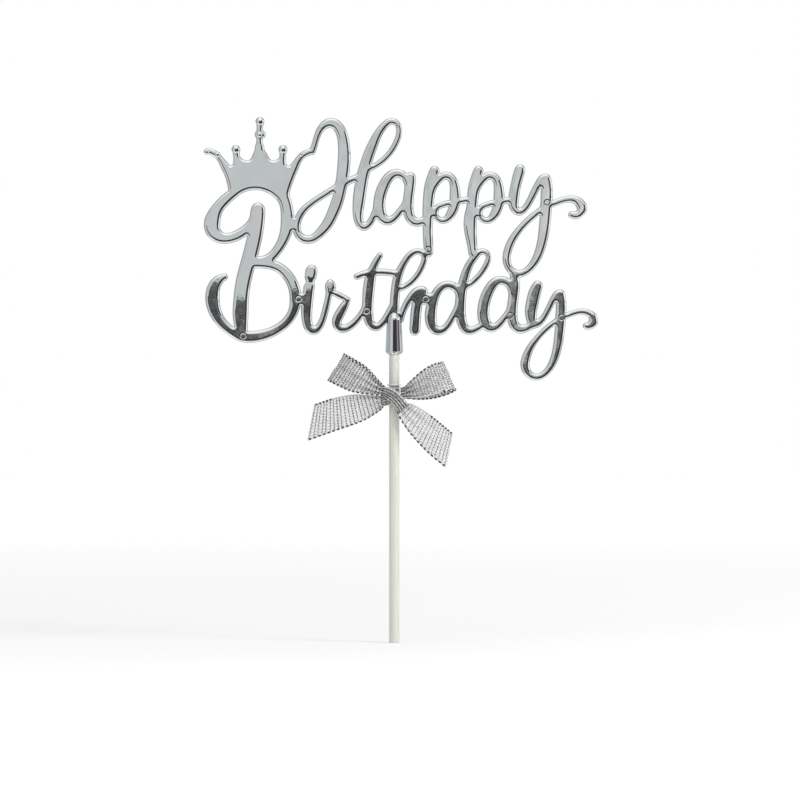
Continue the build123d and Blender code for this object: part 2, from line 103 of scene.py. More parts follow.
# The crown's beads: place across, height and radius.
crown_beads = (
    (-49.04, 152.86, 1.40), (-41.60, 161.54, 1.40), (-34.47, 152.86, 1.40),
    (-41.70, 157.40, 1.00), (-54.80, 151.25, 0.95), (-58.10, 152.10, 0.92),
    (-28.70, 151.30, 0.72),
)
bead_rows = 26
bead_columns = 48
bead_proud = 0.35
bead_thick_share = 0.36
pole_gap = 0.02

# The round marks that the mould's pins left: place across and height.
pin_marks = (
    (-29.67, 106.51), (9.71, 106.51), (-8.59, 102.79), (35.90, 101.24),
    (51.87, 100.78), (10.64, 121.70), (-46.87, 95.04), (47.37, 136.27),
)
mark_radius = 0.85
mark_groove = 0.05
mark_narrow = 0.13
mark_margin = 0.12
mark_steps = 28
mark_shares = (0.35, 0.6, 0.74, 0.84, 0.92, 1.0, 1.08, 1.16, 1.26, 1.45)

# The dip between the dot of the i and its stem: place, way up the stem, bend, depth, width, halves
# across and along, and the grid of points that carries it.
dot_neck = (-26.1, 111.6)
neck_way = (0.13, 0.99)
neck_bend = 0.45
neck_dip = 0.13
neck_width = 0.6
neck_halves = (2.1, 2.2)
neck_grid = (-1.9, 1.95, 0.16)

# Swellings and necks of the strokes: place across, height, reach and how far out.
swells = (
    (57.10, 135.10, 2.6, 0.62), (55.10, 133.80, 1.6, 0.35),
    (56.40, 131.40, 2.5, 0.20), (59.60, 135.00, 2.5, 0.15),
    (62.30, 101.40, 2.4, 0.40), (62.20, 98.90, 2.4, 0.72),
    (60.60, 97.00, 2.2, 0.42), (59.40, 99.20, 1.4, 0.25),
    (-24.60, 116.20, 3.0, 0.36), (-27.80, 111.75, 1.4, -0.50),
    (-24.40, 111.80, 1.3, -0.40), (-19.80, 112.40, 1.9, 0.40),
    (-43.55, 151.05, 2.4, 0.50), (-39.60, 150.90, 2.6, 0.75),
    (-42.80, 153.70, 1.4, 0.28), (-40.40, 153.70, 1.4, 0.22),
)

# The stick, with the rounding of its ends outside and in the bore.
stick_length = 100.0
stick_radius = 1.6
stick_bore = 0.9
stick_rim_ease = 0.16
stick_bore_ease = 0.12

# The ribbon. The bow's tables are shares of its size, from its gather.
bow_size = 31.0
bow_height = 76.7
gather_middle = 3.475
gather_reach = 3.2
ribbon_gap = 0.12
ribbon_width = 10.0

# Its surface: samples along it, pleats where it is narrowed, a slow sway, and the steps along and
# across that give its directions.
run_samples = 600
fold_power = 0.9
pleat_depth = 0.75
sway_depth = 0.12
sway_turns = 1.2
sway_rate = 0.35
plain_step = (0.05, 0.01)
frame_step = (0.04, 0.006)
cloth_step = 0.22
least_rows = 24
ribbon_columns = 56
knot_columns = 90

# Weaves: pitch and half width of the wefts, then of the warps.
tail_weave = (1.15, 0.15, 0.87, 0.12)
left_loop_weave = (0.95, 0.195, 0.80, 0.125)
right_loop_weave = (0.95, 0.235, 0.80, 0.11)
knot_weave = (0.62, 0.12, 0.50, 0.15)
# Yarns: half thickness, how far they go over and under, and how unevenly they lie.
yarn_sides = 6
yarn_spread = (0.85, 1.15)
weft_thick = 0.07
weft_rise = 0.04
weft_sway = 0.13
weft_margin = 0.03
weft_samples = 8
weft_stray = 0.04
weft_drift = 0.2
warp_thick = 0.06
warp_sway = 0.07
warp_samples = 5
warp_stray = 0.06
bright_share = 0.6
bright_yarn, fine_yarn, grey_yarn = range(3)

# The selvedges: stitches as material slot, from and to as shares of the pitch, and half width, and
# the plain cord's halves.
dark_stitch, bright_stitch, plain_cord = range(3)
stitch_pitch = 1.3
stitch_kinds = ((dark_stitch, 0.0, 0.64, 0.31), (bright_stitch, 0.62, 1.02, 0.25))
stitch_points = 11
stitch_taper = 0.72
stitch_flat = 0.8
least_stitch = 0.1
cord_sides = 8
cord_step = 0.2
cord_halves = (0.22, 0.2)
least_cord_points = 8


def unit(rows):
    """Each row brought to length one."""
    return rows / np.maximum(np.linalg.norm(rows, axis=1, keepdims=True), least_length)


def turned(way, angle):
    """A flat way turned by an angle."""
    near, far = cos(angle), sin(angle)
    return np.array((way[0] * near - way[1] * far, way[0] * far + way[1] * near))


def right_of(way):
    return np.array((way[1], -way[0]))


def flipped(faces):
    return [face[::-1] for face in faces]


def grid_faces(rows, columns, closed=False):
    """Quads of a grid of points, row after row; closed joins the last column to the first."""
    faces = []
    for row in range(rows - 1):
        here, above = row * columns, (row + 1) * columns
        for column in range(columns if closed else columns - 1):
            after = (column + 1) % columns
            faces.append((here + column, here + after, above + after, above + column))
    return faces


def placed(name, data):
    """A new object in the scene."""
    made = bpy.data.objects.new(name, data)
    bpy.context.collection.objects.link(made)
    return made


class Mesh:
    """Points, normals and faces that are gathered before they become one object."""

    def __init__(self):
        self.points, self.normals, self.faces, self.slots = [], [], [], []
        self.count = 0

    def add(self, points, normals, faces, slot=0):
        points = np.asarray(points, float)
        self.points.append(points)
        self.normals.append(np.asarray(normals, float))
        self.faces += [tuple(i + self.count for i in face) for face in faces]
        self.slots += [slot] * len(faces)
        self.count += len(points)

    def build(self, name, materials):
        mesh = bpy.data.meshes.new(name)
        points = np.concatenate(self.points) * MM
        mesh.from_pydata(points.tolist(), [], self.faces)
        for made in materials:
            mesh.materials.append(made)
        mesh.polygons.foreach_set("material_index", self.slots)
        mesh.polygons.foreach_set("use_smooth", [True] * len(self.faces))
        mesh.update()
        normals = unit(np.concatenate(self.normals))
        mesh.normals_split_custom_set_from_vertices(normals.tolist())
        return placed(name, mesh)


# Materials.


def put(value, slot):
    """Give a node's input a number, a tone or another node's output."""
    if isinstance(value, tuple):
        slot.default_value = (*value, 1.0)
    elif isinstance(value, float):
        slot.default_value = value
    else:
        slot.id_data.links.new(value, slot)


def node(tree, kind, *values, **settings):
    """A new node, with its settings and with values for its first inputs."""
    made = tree.nodes.new(f"ShaderNode{kind}")
    for key, value in settings.items():
        setattr(made, key, value)
    for slot, value in zip(made.inputs, values):
        put(value, slot)
    return made


def fill(made, values):
    for name, value in values.items():
        put(value, made.inputs[name])


def shader(name):
    """A new material, with its node tree and its shader."""
    made = bpy.data.materials.new(name)
    made.use_nodes = True
    tree = made.node_tree
    return made, tree, tree.nodes["Principled BSDF"]


def noise(tree, scale, detail, roughness=0.55, vector=None):
    made = node(tree, "TexNoise")
    if vector is None:
        vector = node(tree, "TexCoord").outputs["Object"]
    values = {"Vector": vector, "Scale": scale, "Detail": detail, "Roughness": roughness}
    fill(made, values)
    return made.outputs["Fac"]


def mapped(tree, value, given, wanted=(0.0, 1.0), smooth=False):
    """A value brought from one range to another, and held within it."""
    kind = "SMOOTHSTEP" if smooth else "LINEAR"
    values = (value, *given, *wanted)
    made = node(tree, "MapRange", *values, clamp=True, interpolation_type=kind)
    return made.outputs[0]


def colours(tree, value, stops):
    """A ramp over the value; its stops are places with tones or with levels of grey."""
    made = node(tree, "ValToRGB", value)
    ramp = made.color_ramp
    while len(ramp.elements) < len(stops):
        ramp.elements.new(0.5)
    for element, (place, tone) in zip(ramp.elements, stops):
        element.position = place
        element.color = (*tone, 1.0) if isinstance(tone, tuple) else (tone, tone, tone, 1.0)
    return made.outputs["Color"]


def mixed(tree, factor, first, second, blend="MIX"):
    """A mix of two colours, each a tone or a node's output."""
    made = node(tree, "Mix", data_type="RGBA", blend_type=blend)
    for slot, value in zip((0, 6, 7), (factor, first, second)):
        put(value, made.inputs[slot])
    return made.outputs[2]


def bump(tree, height, skin, distance, strength=1.0):
    made = node(tree, "Bump")
    fill(made, {"Strength": strength, "Distance": distance, "Height": height})
    put(made.outputs["Normal"], skin.inputs["Normal"])


def grained(tree, skin, grain, stops, rough):
    """Colour and roughness that follow one grain."""
    rough = mapped(tree, grain, (0.3, 0.7), rough)
    fill(skin, {"Base Color": colours(tree, grain, stops), "Roughness": rough})


def chrome_material():
    """Vacuum-plated plastic: a mirror with a faint orange peel and a fine haze."""
    made, tree, skin = shader("metallised_plastic")
    cloud = noise(tree, scale=140.0, detail=3.0)
    haze = noise(tree, scale=900.0, detail=4.0)
    tint = colours(tree, cloud, ((0.35, (0.79, 0.82, 0.83)), (0.65, (0.83, 0.85, 0.855))))
    rough = mapped(tree, haze, (0.35, 0.7), (0.005, 0.014))
    fill(skin, {"Base Color": tint, "Roughness": rough, "Metallic": 1.0})
    bump(tree, noise(tree, scale=1300.0, detail=2.0), skin, distance=0.0000005)
    return made


def stick_material():
    """Extruded white plastic with faint draw lines along its length."""
    made, tree, skin = shader("stick_plastic")
    drawn = node(tree, "Mapping", node(tree, "TexCoord").outputs["Object"])
    drawn.inputs["Scale"].default_value = (1.0, 1.0, 0.02)
    lines = noise(tree, scale=3200.0, detail=3.0, vector=drawn.outputs["Vector"])
    stops = ((0.3, (0.57, 0.57, 0.52)), (0.7, (0.64, 0.64, 0.59)))
    grained(tree, skin, lines, stops, rough=(0.36, 0.5))
    fill(skin, {"Subsurface Weight": 0.12, "Subsurface Scale": 1.0})
    skin.inputs["Subsurface Radius"].default_value = (0.0012, 0.0012, 0.001)
    bump(tree, lines, skin, distance=0.00002, strength=0.5)
    return made


def thread_material(name, dark, light, rough):
    """Metal-wrapped yarn: the tone wanders from filament to filament."""
    made, tree, skin = shader(name)
    fleck = noise(tree, scale=1500.0, detail=3.0, roughness=0.7)
    grained(tree, skin, fleck, ((0.35, dark), (0.6, light)), (rough - 0.08, rough + 0.08))
    put(0.15, skin.inputs["Metallic"])
    fibres = noise(tree, scale=5200.0, detail=2.0)
    bump(tree, fibres, skin, distance=0.00004, strength=0.6)
    return made


def ground_material():
    """The sheer silver ground that the yarns run through."""
    made, tree, skin = shader("ribbon_ground")
    fleck = noise(tree, scale=2200.0, detail=2.0, roughness=0.7)
    stops = ((0.35, (0.42, 0.42, 0.425)), (0.62, (0.76, 0.76, 0.765)))
    grained(tree, skin, fleck, stops, rough=(0.45, 0.65))
    put(mapped(tree, fleck, (0.38, 0.62), (0.5, 0.85)), skin.inputs["Alpha"])
    bump(tree, fleck, skin, distance=0.00005, strength=0.5)
    return made


def wire_material():
    """Bright drawn wire with fine scratches round it."""
    made, tree, skin = shader("tie_wire")
    fleck = noise(tree, scale=2400.0, detail=3.0)
    stops = ((0.3, (0.80, 0.81, 0.82)), (0.7, (0.92, 0.93, 0.94)))
    grained(tree, skin, fleck, stops, rough=(0.16, 0.3))
    put(0.45, skin.inputs["Metallic"])
    bump(tree, fleck, skin, distance=0.00001, strength=0.4)
    return made


chrome = chrome_material()
stick_white = stick_material()
bright_thread = thread_material("silver_bright", (0.50, 0.505, 0.51), (0.80, 0.805, 0.81), 0.38)
fine_thread = thread_material("silver_soft", (0.40, 0.405, 0.41), (0.70, 0.705, 0.71), 0.42)
grey_thread = thread_material("silver_grey", (0.08, 0.08, 0.082), (0.27, 0.27, 0.275), 0.36)
dark_thread = thread_material("dark_selvedge", (0.03, 0.03, 0.032), (0.10, 0.10, 0.105), 0.4)
ground = ground_material()
wire = wire_material()


# The lettering.


def plate_outlines(mesh):
    """The closed outlines of the plate's flat back, each an array of (x, z)."""
    edges = {}
    for face in mesh.polygons:
        corners = [mesh.vertices[i].co / MM for i in face.vertices]
        if any(abs(p.y - plate_half) > flat_slack for p in corners):
            continue
        keys = [(round(p.x, key_digits), round(p.z, key_digits)) for p in corners]
        for start, end in zip(keys, keys[1:] + keys[:1]):
            if start == end:
                continue
            if start in edges.get(end, ()):
                edges[end].remove(start)
            else:
                edges.setdefault(start, []).append(end)
    loops = []
    while True:
        start = next((key for key, ends in edges.items() if ends), None)
        if start is None:
            return loops
        loop = [start]
        here = edges[start].pop()
        while here != start:
            loop.append(here)
            here = edges[here].pop()
        loops.append(np.array(loop))


def resampled(loop, step):
    closed = np.concatenate([loop, loop[:1]])
    lengths = np.concatenate([[0.0], np.cumsum(np.linalg.norm(np.diff(closed, axis=0), axis=1))])
    count = max(fewest_points, round(lengths[-1] / step))
    at = np.linspace(0.0, lengths[-1], count, endpoint=False)
    return np.column_stack([np.interp(at, lengths, closed[:, k]) for k in (0, 1)])


def eased(loop, step, reach):
    """The loop with its facets smoothed over about the given reach."""
    span = ceil(3 * reach / step)
    weights = np.exp(-0.5 * (np.arange(-span, span + 1) * step / reach) ** 2)
    weights /= weights.sum()
    return sum(w * np.roll(loop, k, axis=0) for w, k in zip(weights, range(-span, span + 1)))


def relaxed(loop):
    """The fine loop with gentle kinks smoothed away; corners and caps stay."""
    firm, soft = eased(loop, fine_step, facet_ease), eased(loop, fine_step, kink_ease)
    moved = np.linalg.norm(soft - firm, axis=1)
    share = np.clip((kink_limit - moved) / kink_fade, 0.0, 1.0)
    share[(np.abs(firm[:, 0]) < kept_half) & (firm[:, 1] < kept_top)] = 0.0
    span = round(corner_guard / fine_step)
    share = np.min([np.roll(share, shift) for shift in range(-span, span + 1, 2)], axis=0)
    share = eased(share[:, None], fine_step, blend_ease)
    return firm * (1.0 - share) + soft * share


def ways_in(loop):
    """The inward way at each point of a loop."""
    ahead = unit(np.roll(loop, -1, axis=0) - np.roll(loop, 1, axis=0))
    return np.column_stack([ahead[:, 1], -ahead[:, 0]])


def swollen(loop):
    """The loop with its swellings and necks."""
    shift = np.zeros(len(loop))
    for x, z, reach, out in swells:
        away = np.hypot(loop[:, 0] - x, loop[:, 1] - z) / reach
        shift += out * np.clip(1.0 - away**2, 0.0, 1.0) ** 2
    return loop - ways_in(loop) * shift[:, None]


def by_socket(points):
    """Which points of an outline lie on the line where the plate runs into the socket."""
    x, z = points[:, 0], points[:, 1]
    chord = sqrt(socket_radius**2 - plate_half**2)
    low = (z > socket_mouth - mouth_slack) & (z <= socket_shoulder)
    low &= np.abs(np.abs(x) - chord) < line_slack
    high = np.abs(np.hypot(x, z - socket_shoulder) - chord) < line_slack
    return low | (high & (z > socket_shoulder))


def tree_of(points):
    made = kdtree.KDTree(len(points))
    for index, (x, z) in enumerate(points):
        made.insert((x, z, 0.0), index)
    made.balance()
    return made


class Plate:
    """The outlines of the lettering's plate, sampled evenly, with their inward ways."""

    def __init__(self, mesh):
        fine = [swollen(relaxed(resampled(loop, fine_step))) for loop in plate_outlines(mesh)]
        loops = [resampled(loop, outline_step) for loop in fine]
        ends = np.cumsum([0] + [len(loop) for loop in loops])
        self.loops = [range(start, end) for start, end in zip(ends, ends[1:])]
        self.points = np.concatenate(loops)
        self.inward = np.concatenate([ways_in(loop) for loop in loops])
        self.hidden = by_socket(self.points)
        self.edges = [
            (loop[k], loop[(k + 1) % len(loop)]) for loop in self.loops for k in range(len(loop))
        ]
        self.every = tree_of(self.points)
        self.shown = np.flatnonzero(~self.hidden)
        self.near = tree_of(self.points[self.shown])
        self.reach = np.minimum(edge_reach, round_share * self.half_widths())
        self.rim_turns = np.where(self.hidden, 0.0, pi / 2)
        self.seeds = self.spread()

    def spread(self):
        """Outline points, inward ways and reaches, with more ways where the outline turns in."""
        rows = [(*self.points[k], *self.inward[k], self.reach[k]) for k in self.shown]
        for start, end in self.edges:
            if self.hidden[start] or self.hidden[end]:
                continue
            one, two = self.inward[start], self.inward[end]
            turn = atan2(one[0] * two[1] - one[1] * two[0], one @ two)
            count = int(turn / radians(corner_turn))
            for step in range(1, count + 1):
                share = step / (count + 1)
                place = self.points[start] * (1 - share) + self.points[end] * share
                reach = self.reach[start] * (1 - share) + self.reach[end] * share
                rows.append((*place, *turned(one, turn * share), reach))
        return np.array(rows)

    def half_widths(self):
        """Half the stroke's width at each outline point, evened out along the outline."""
        found = np.full(len(self.points), least_half)
        for index in self.shown:
            for depth in np.arange(least_half, most_half, half_step):
                x, z = self.points[index] + self.inward[index] * depth
                if self.depth(x, z) < depth - half_slack:
                    break
                found[index] = depth
        for loop in self.loops:
            found[loop] = eased(found[loop], outline_step, half_ease)
        return found

    def seated(self):
        """The outline points, with those at the socket drawn into its wall."""
        points = self.points.copy()
        high = self.hidden & (points[:, 1] > socket_shoulder)
        points[self.hidden, 0] *= seat_share
        points[high, 1] = socket_shoulder + (points[high, 1] - socket_shoulder) * seat_share
        return points

    def depth(self, x, z):
        return self.near.find((x, z, 0.0))[2]

    def holds(self, x, z):
        _, index, _ = self.every.find((x, z, 0.0))
        return ((x, z) - self.points[index]) @ self.inward[index] > 0.0

    def rings(self, shares, limit, more=0.0):
        """Points at shares of the reach inside the outline: place, way out, reach and level."""
        kept = []
        for level, share in enumerate(shares):
            extra = more if level == len(shares) - 1 else 0.0
            for x, z, across, up, reach in self.seeds:
                reach = min(reach, limit)
                depth = share * reach + extra
                place = (x + across * depth, z + up * depth)
                if self.depth(*place) >= depth - ring_slack:
                    kept.append((*place, -across, -up, reach, level))
        kept = np.array(kept)
        return kept[:, :2], kept[:, 2:4], kept[:, 4], kept[:, 5].astype(int)

    def skin(self, points):
        """The plate's triangles over the points: places, faces and the point each place was."""
        flat = [Vector(point) for point in points]
        found = geometry.delaunay_2d_cdt(flat, self.edges, [], 0, weld)
        places = np.array([(p.x, p.y) for p in found[0]])
        faces = [face for face in found[2] if self.holds(*places[list(face)].mean(axis=0))]
        sources = np.array([origin[0] if origin else -1 for origin in found[3]])
        return places, faces, sources

    def lay(self, made, skin, y, normals):
        """Add a skin to the mesh; gives the outline's places there."""
        places, faces, sources = skin
        found = np.full(sources.max() + 2, -1)
        found[sources] = made.count + np.arange(len(sources))
        made.add(np.column_stack([places[:, 0], y, places[:, 1]]), normals, faces)
        return found[: len(self.points)].tolist()


def mark_points():
    """Close points round each pin mark."""
    points = []
    for x, z in pin_marks:
        for share in mark_shares:
            reach = mark_radius * share
            for step in range(mark_steps):
                turn = tau * step / mark_steps
                points.append((x + reach * cos(turn), z + reach * sin(turn)))
    return np.array(points)


def mark_relief(points):
    """How deep the pin marks' grooves are at the points, and their slopes."""
    depth = np.zeros(len(points))
    slope = np.zeros((len(points), 2))
    for centre in pin_marks:
        away = points - centre
        reach = np.maximum(np.linalg.norm(away, axis=1), least_length)
        groove = mark_groove * np.exp(-(((reach - mark_radius) / mark_narrow) ** 2))
        depth += groove
        rate = groove * -2.0 * (reach - mark_radius) / mark_narrow**2
        slope += away / reach[:, None] * rate[:, None]
    return depth, slope


def neck_points():
    """Close points where the dot of the i sinks into its stem."""
    steps = np.arange(*neck_grid)
    across, up = np.meshgrid(steps, steps)
    return np.column_stack([across.ravel(), up.ravel()]) + dot_neck


def neck_relief(points):
    """The dip between the dot of the i and its stem, and its slopes."""
    way = np.array(neck_way)
    side = right_of(way)
    away = points - dot_neck
    across, along = away @ side, away @ way
    rise = along - neck_bend * np.abs(across)
    inside = (np.abs(across) < neck_halves[0]) & (np.abs(along) < neck_halves[1])
    dip = np.where(inside, neck_dip * np.exp(-((rise / neck_width) ** 2)), 0.0)
    rate = dip * -2.0 * rise / neck_width**2
    lean = way - neck_bend * np.sign(across)[:, None] * side
    return dip, lean * rate[:, None]


def plate_front(made, plate):
    """The polished front with its rounded edge; gives the outline's places in the mesh."""
    turns = np.radians(front_turns)
    ring, ring_out, ring_reach, level = plate.rings(1.0 - np.sin(turns), edge_reach, flat_margin)
    marks = np.concatenate([mark_points(), neck_points()])
    roomy = [plate.holds(x, z) and plate.depth(x, z) > mark_margin for x, z in marks]
    marks = marks[np.array(roomy)]
    points = np.concatenate([plate.seated(), ring, marks])
    turn = np.concatenate([plate.rim_turns, turns[level], np.zeros(len(marks))])
    reach = np.concatenate([plate.reach, ring_reach, np.full(len(marks), edge_reach)])
    outward = np.concatenate([-plate.inward, ring_out, np.zeros((len(marks), 2))])
    for index in range(len(points) - len(marks), len(points)):
        x, z = points[index]
        place, near, depth = plate.near.find((x, z, 0.0))
        reach[index] = plate.reach[plate.shown[near]]
        if depth < reach[index]:
            turn[index] = asin(1.0 - depth / reach[index])
            outward[index] = np.array((place[0] - x, place[1] - z)) / depth
    skin = plate.skin(points)
    places, _, sources = skin
    turn, outward, reach = turn[sources], outward[sources], reach[sources]
    drop = np.minimum(edge_drop, reach * edge_drop / edge_reach)
    groove, slope = (sum(both) for both in zip(mark_relief(places), neck_relief(places)))
    soft, steep = np.cos(turn), np.sin(turn) * drop / reach
    lean = outward * steep[:, None] + slope * soft[:, None]
    y = -plate_half + drop * (1.0 - soft) + groove * soft
    return plate.lay(made, skin, y, np.column_stack([lean[:, 0], -soft, lean[:, 1]]))


def plate_back(made, plate):
    """The flat back with its eased edge; gives the outline's places in the mesh."""
    turns = np.radians(back_turns)
    ring, ring_out, _, level = plate.rings(1.0 - np.sin(turns), back_round)
    turn = np.concatenate([plate.rim_turns, turns[level]])
    outward = np.concatenate([-plate.inward, ring_out])
    places, faces, sources = plate.skin(np.concatenate([plate.seated(), ring]))
    turn, outward = turn[sources], outward[sources]
    soft, lean = np.cos(turn), outward * np.sin(turn)[:, None]
    y = plate_half - back_round * (1.0 - soft)
    skin = (places, flipped(faces), sources)
    return plate.lay(made, skin, y, np.column_stack([lean[:, 0], soft, lean[:, 1]]))


def eased_profile(corners, steps=5):
    """A lathe's (radius, height) profile with each corner rounded by its own radius."""
    places = np.array([place for place, _ in corners])
    legs = unit(np.diff(places, axis=0))
    points, out = [places[0]], [right_of(legs[0])]
    for here, came, goes, (_, ease) in zip(places[1:], legs, legs[1:], corners[1:]):
        turn = acos(max(-1.0, min(1.0, came @ goes)))
        side = 1.0 if came[0] * goes[1] - came[1] * goes[0] > 0 else -1.0
        back = ease * tan(turn / 2)
        centre = here - came * back - side * ease * right_of(came)
        for step in range(steps + 1):
            out.append(right_of(turned(came, side * turn * step / steps)))
            points.append(centre + side * ease * out[-1])
    return np.array([*points, places[-1]]), np.array([*out, right_of(legs[-1])])


def lathe(made, profile, normals, steps=96):
    """Turn a profile of (radius, height) about the Z axis."""
    turns = np.linspace(0.0, tau, steps, endpoint=False)

    def spun(rows):
        return [(wide * cos(t), wide * sin(t), up) for wide, up in rows for t in turns]

    made.add(spun(profile), spun(normals), grid_faces(len(profile), steps, closed=True))


def socket(made):
    """The round socket that the plate runs into: its lead, tapered wall, dome and bore."""
    corners = [
        ((bore_radius, socket_mouth), 0.0),
        ((socket_mouth_radius, socket_mouth), mouth_ease),
        ((socket_foot_radius, socket_mouth + socket_lead), foot_ease),
        ((socket_top_radius, socket_shoulder), 0.0),
    ]
    profile, normals = (list(rows) for rows in eased_profile(corners))
    for step in range(1, dome_steps + 1):
        turn = pi / 2 * step / dome_steps
        radius = max(socket_top_radius * cos(turn), axis_gap)
        profile.append((radius, socket_shoulder + socket_radius * sin(turn)))
        normals.append((cos(turn), sin(turn)))
    lathe(made, profile, normals)
    lathe(made, [(bore_radius, bore_top), (bore_radius, socket_mouth)], [(-1.0, 0.0)] * 2)
    lathe(made, [(axis_gap, bore_top), (bore_radius, bore_top)], [(0.0, -1.0)] * 2)


def bead(made, x, z, radius):
    """A flattened ball on the crown, proud of the plate on its front."""
    thick = bead_proud + bead_thick_share * radius
    middle = -plate_half - bead_proud + thick
    points, normals = [], []
    for row in range(bead_rows):
        tilt = pi * (row + pole_gap) / (bead_rows - 1 + 2 * pole_gap)
        wide, deep = sin(tilt), -cos(tilt)
        for column in range(bead_columns):
            turn = tau * column / bead_columns
            across, up = wide * cos(turn), wide * sin(turn)
            points.append((x + radius * across, middle + thick * deep, z + radius * up))
            normals.append((across / radius, deep / thick, up / radius))
    made.add(points, normals, flipped(grid_faces(bead_rows, bead_columns, closed=True)))


def lettering():
    plate = Plate(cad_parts["lettering"].data)
    made = Mesh()
    front = plate_front(made, plate)
    back = plate_back(made, plate)
    for start, end in plate.edges:
        made.faces.append((front[start], front[end], back[end], back[start]))
        made.slots.append(0)
    socket(made)
    for row in crown_beads:
        bead(made, *row)
    sign = made.build("sign_lettering", [chrome])
    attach(sign, "sign")
    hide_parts("lettering")


def stick():
    """The straight tube, its ends cut square with their burr taken off."""
    made = Mesh()
    corners = [
        ((stick_bore, stick_length / 2), 0.0),
        ((stick_bore, 0.0), stick_bore_ease),
        ((stick_radius, 0.0), stick_rim_ease),
        ((stick_radius, stick_length), stick_rim_ease),
        ((stick_bore, stick_length), stick_bore_ease),
        ((stick_bore, stick_length / 2), 0.0),
    ]
    lathe(made, *eased_profile(corners))
    tube = made.build("stick_tube", [stick_white])
    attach(tube, "stick")
    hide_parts("stick")


# The ribbon's rows: out and up for the upper point, then for the lower one, and forward.
left_loop_rows = (
    (0, 0.085, 0, -0.002, 0.014), (0.063, 0.152, 0.133, 0.01, 0.05),
    (0.173, 0.260, 0.313, 0.04, 0.072), (0.283, 0.331, 0.433, 0.09, 0.062),
    (0.358, 0.382, 0.518, 0.133, 0.028), (0.393, 0.41, 0.553, 0.15, -0.028),
    (0.368, 0.397, 0.528, 0.137, -0.082), (0.293, 0.355, 0.443, 0.095, -0.112),
    (0.183, 0.285, 0.313, 0.045, -0.112), (0.073, 0.17, 0.143, 0.015, -0.077),
    (0, 0.08, 0, 0, -0.031),
)
right_loop_rows = (
    (0, 0.085, 0, -0.022, 0.014), (0.063, 0.145, 0.133, -0.022, 0.05),
    (0.173, 0.24, 0.253, 0, 0.072), (0.273, 0.30, 0.363, 0.033, 0.062),
    (0.348, 0.322, 0.468, 0.05, 0.028), (0.383, 0.33, 0.508, 0.06, -0.028),
    (0.358, 0.324, 0.478, 0.035, -0.082), (0.283, 0.30, 0.393, 0, -0.112),
    (0.183, 0.245, 0.273, -0.03, -0.112), (0.073, 0.15, 0.143, -0.04, -0.077),
    (0, 0.08, 0, -0.03, -0.031),
)
left_tail_rows = (
    (0, -0.015, 0, -0.11, -0.022), (0.093, -0.012, 0.043, -0.155, -0.02),
    (0.273, 0, 0.213, -0.255, -0.012), (0.473, -0.03, 0.453, -0.34, 0),
    (0.693, -0.10, 0.763, -0.45, -0.015),
)
right_tail_rows = (
    (0.028, -0.09, -0.077, -0.155, 0), (0.093, -0.105, -0.037, -0.245, -0.01),
    (0.213, -0.175, 0.073, -0.40, -0.005), (0.353, -0.285, 0.233, -0.57, 0),
    (0.478, -0.39, 0.413, -0.72, -0.015),
)
# Name, rows, side, pleats, their phase, weave, how it is held, and the shares of the upper and
# lower selvedge that have no stitches.
bow_stretches = (
    ("bow_left_loop", left_loop_rows, -1, 3.0, 0.4, left_loop_weave, "folded", (0.0, 0.0)),
    ("bow_right_loop", right_loop_rows, 1, 3.0, 1.1, right_loop_weave, "folded", (0.0, 0.35)),
    ("bow_left_tail", left_tail_rows, -1, 2.5, 2.2, tail_weave, "hung", (0.70, 0.0)),
    ("bow_right_tail", right_tail_rows, 1, 2.5, 0.9, tail_weave, "hung", (0.47, 0.0)),
)
# The ribbon's three passes through the knot: across and height for the upper point, then for the
# lower one, and depth. The front pass lies over the wire.
front_pass = (
    (-3.7, 79.5, -3.7, 76.5, -3.95), (-1.7, 79.1, -2.0, 75.5, -4.60),
    (0.4, 78.2, -0.5, 74.2, -5.60), (2.6, 76.2, 0.5, 72.8, -6.40),
    (4.0, 74.5, 1.0, 71.8, -6.00), (4.7, 73.8, 1.3, 71.2, -3.80),
)
middle_pass = (
    (-3.7, 76.4, -3.7, 73.2, -2.85), (-1.8, 77.4, -1.6, 73.5, -3.40),
    (0.0, 78.7, 0.2, 74.5, -3.75), (1.9, 79.2, 2.1, 75.4, -3.95),
    (3.7, 79.5, 3.7, 75.9, -3.95),
)
back_pass = (
    (-3.7, 79.3, -3.7, 76.6, -2.55), (-1.8, 79.0, -1.8, 75.2, -2.60),
    (0.0, 78.8, 0.0, 74.4, -2.60), (1.8, 79.0, 1.8, 74.8, -2.60),
    (3.7, 79.3, 3.7, 75.7, -2.55),
)
knot_pleats = 4.5
knot_passes = ((front_pass, 0.3), (middle_pass, 1.4), (back_pass, 2.0))


def through(rows, at):
    """A smooth curve through the rows, at places that run from 0 to 1."""
    ends = np.concatenate([[2 * rows[0] - rows[1]], rows, [2 * rows[-1] - rows[-2]]])
    scaled = np.clip(at, 0.0, 1.0) * (len(rows) - 1)
    index = np.minimum(scaled.astype(int), len(rows) - 2)
    t = (scaled - index)[:, None]
    a, b, c, d = (ends[index + k] for k in range(4))
    return 0.5 * (
        2 * b + (c - a) * t + (2 * a - 5 * b + 4 * c - d) * t**2 + (3 * b - a - 3 * c + d) * t**3
    )


def bow_rows(rows, side):
    """A bow table's rows as places."""
    rows = np.array(rows, float) * bow_size
    rows[:, (0, 2)] = side * (gather_reach + ribbon_gap + rows[:, (0, 2)])
    rows[:, (1, 3)] += bow_height
    rows[:, 4] = -gather_middle - rows[:, 4]
    return rows


